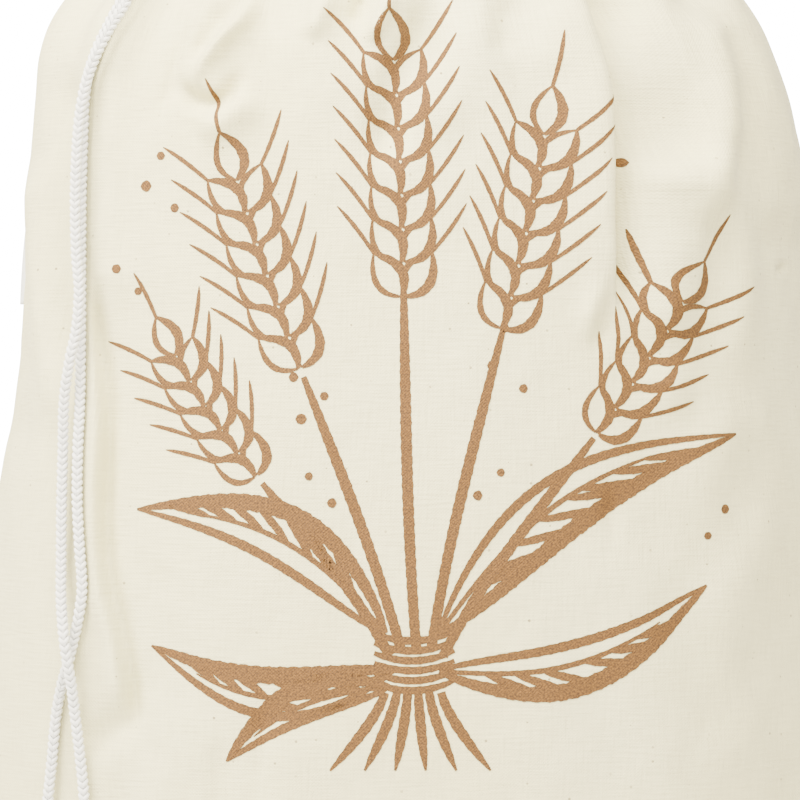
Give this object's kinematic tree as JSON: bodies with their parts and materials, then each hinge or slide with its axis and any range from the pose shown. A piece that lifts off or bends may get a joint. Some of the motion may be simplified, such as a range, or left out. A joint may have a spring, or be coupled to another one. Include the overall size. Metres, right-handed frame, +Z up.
{
  "type": "drawstring bag",
  "caption": "Filled cotton drawstring bread bag that stands upright, with a gathered neck, a printed front, a blank side label and a white braided cord knotted at both ends.",
  "frame": {"origin": "on the surface that the bag stands on, under the middle of its base", "axes": "+Z up through the neck; +X to the right seen from the front; the printed front faces -Y"},
  "size_m": [0.2404, 0.1564, 0.3576],
  "materials": {
    "unbleached_cotton": "matt plain weave",
    "white_tape": "matt woven tape",
    "white_braid": "matt braid"
  },
  "bodies": {
    "root": {"bag_cloth": "unbleached_cotton", "side_label": "white_tape", "drawcord_neck": "white_braid", "drawcord_front": "white_braid", "drawcord_rear": "white_braid", "knot_front": "white_braid", "knot_rear": "white_braid"}
  },
  "joints": []
}
